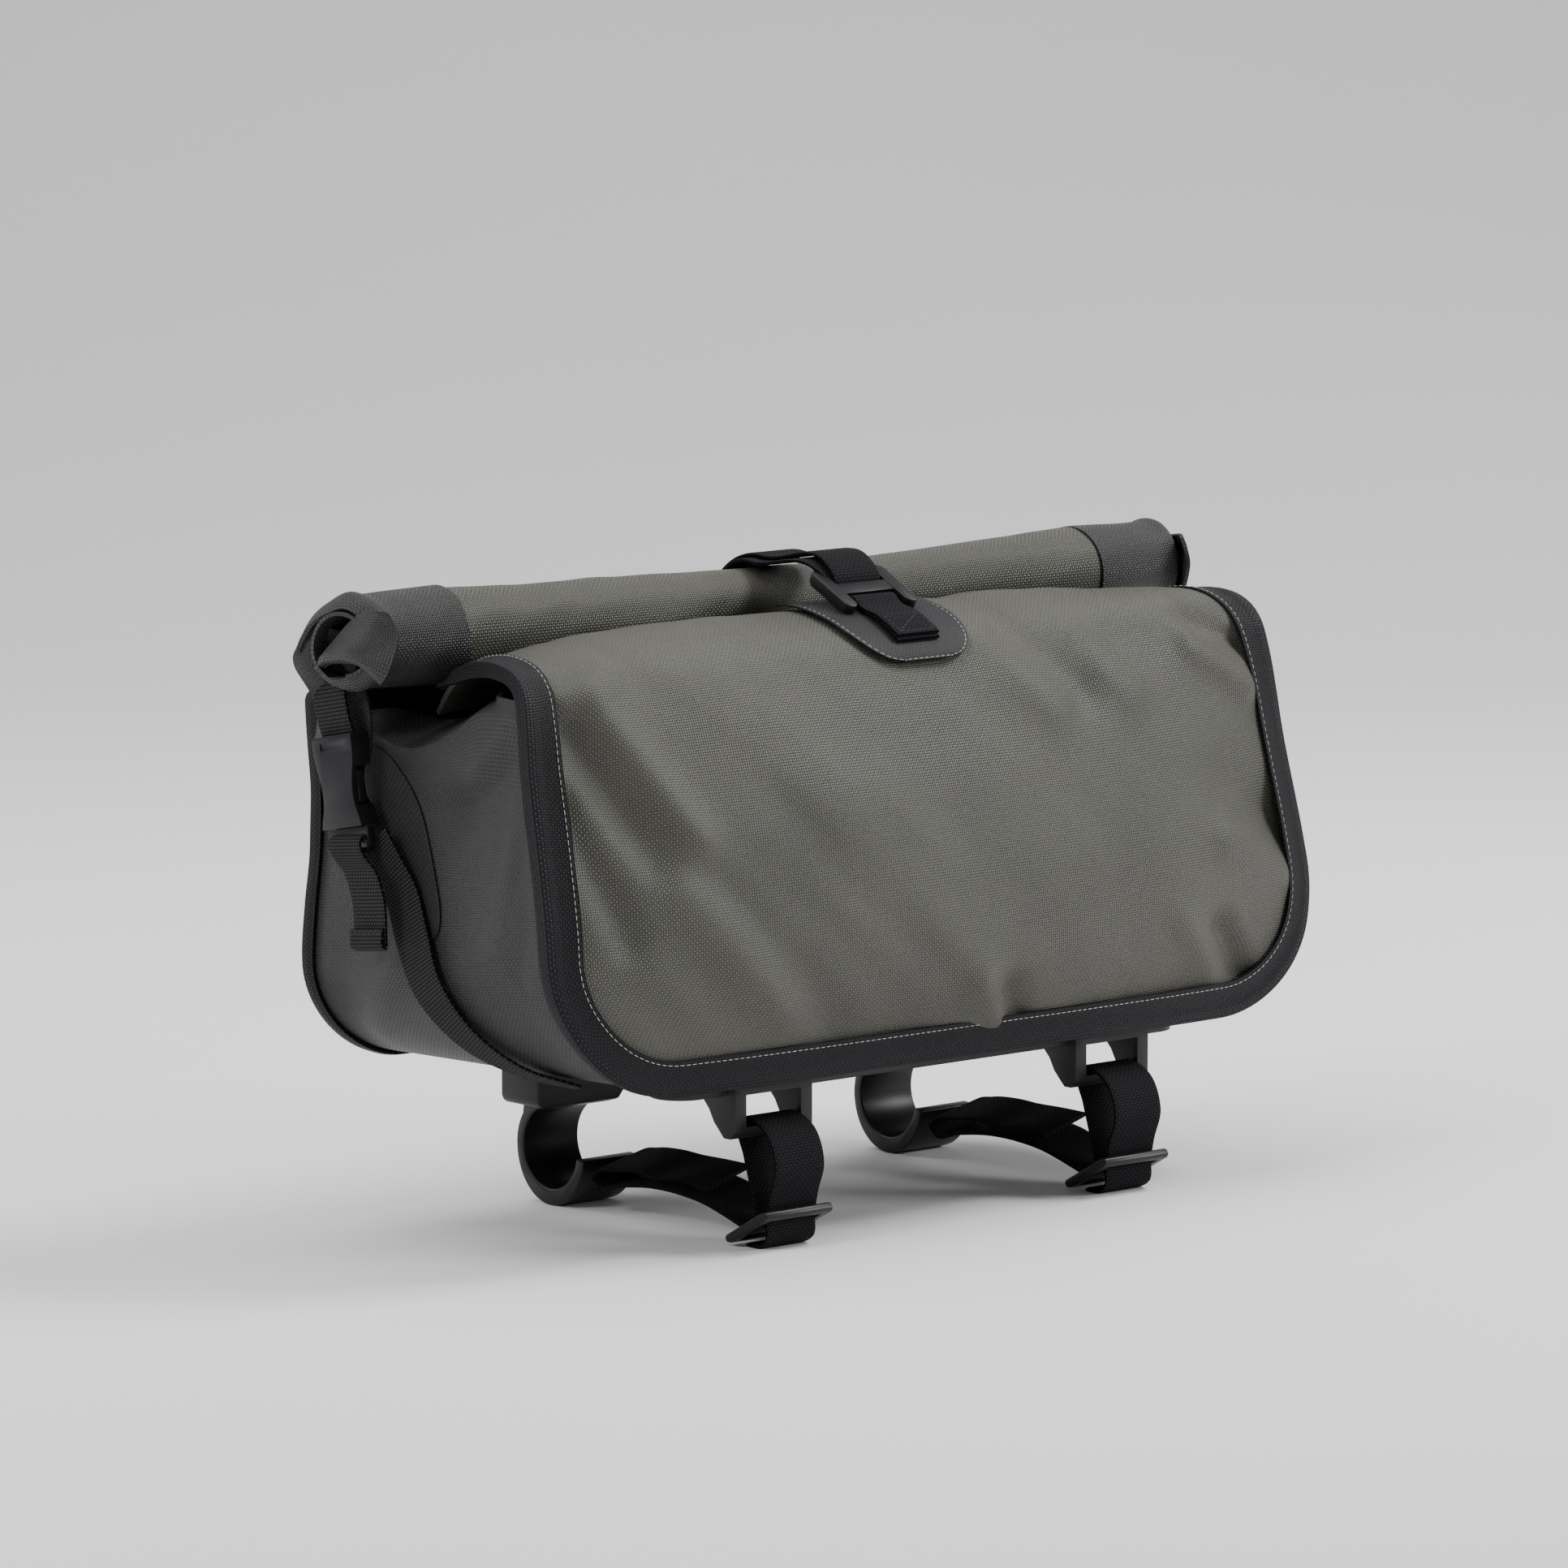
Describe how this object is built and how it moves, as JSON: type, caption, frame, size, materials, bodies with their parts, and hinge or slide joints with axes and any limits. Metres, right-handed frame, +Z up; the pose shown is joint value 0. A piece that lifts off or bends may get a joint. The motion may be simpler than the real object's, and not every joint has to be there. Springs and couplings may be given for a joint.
{
  "type": "rack trunk bag",
  "caption": "Roll-top trunk bag of coated cloth with side buckles, a strap over the roll, and two rails with C hooks and webbing loops that clip on a rack",
  "frame": {"origin": "middle of the bag's bounding box on the floor that it stands on", "axes": "+X along the bag to its right end seen from the front, -Y out of the front panel, +Z up"},
  "size_m": [0.4406, 0.1734, 0.2573],
  "materials": {
    "olive_cloth": "coated basket-weave cloth, olive grey, half gloss",
    "dark_cloth": "coated basket-weave cloth, charcoal",
    "binding_tape": "welded cloth tape with a light stitched edge",
    "webbing": "ribbed black webbing",
    "black_plastic": "fine matt moulding grain"
  },
  "bodies": {
    "root": {"back_panel": "olive_cloth", "base_panel": "dark_cloth", "binding_back": "binding_tape", "binding_front": "binding_tape", "buckle_female_left": "black_plastic", "buckle_female_right": "black_plastic", "buckle_male_left": "black_plastic", "buckle_male_right": "black_plastic", "centre_anchor": "webbing", "centre_hook": "black_plastic", "centre_patch": "dark_cloth", "centre_strap": "webbing", "end_panel_left": "dark_cloth", "end_panel_right": "dark_cloth", "foot_loop_left": "webbing", "foot_loop_right": "webbing", "foot_strap_left": "webbing", "foot_strap_right": "webbing", "front_panel": "olive_cloth", "hook_left": "black_plastic", "hook_right": "black_plastic", "ladder_lock_left": "black_plastic", "ladder_lock_right": "black_plastic", "rail_front": "black_plastic", "rail_rear": "black_plastic", "roll_end_left": "dark_cloth", "roll_end_right": "dark_cloth", "roll_top": "olive_cloth", "side_loop_left": "webbing", "side_loop_right": "webbing", "side_patch_left": "dark_cloth", "side_patch_right": "dark_cloth", "side_strap_left": "webbing", "side_strap_right": "webbing", "side_tail_left": "webbing", "side_tail_right": "webbing"}
  },
  "joints": []
}
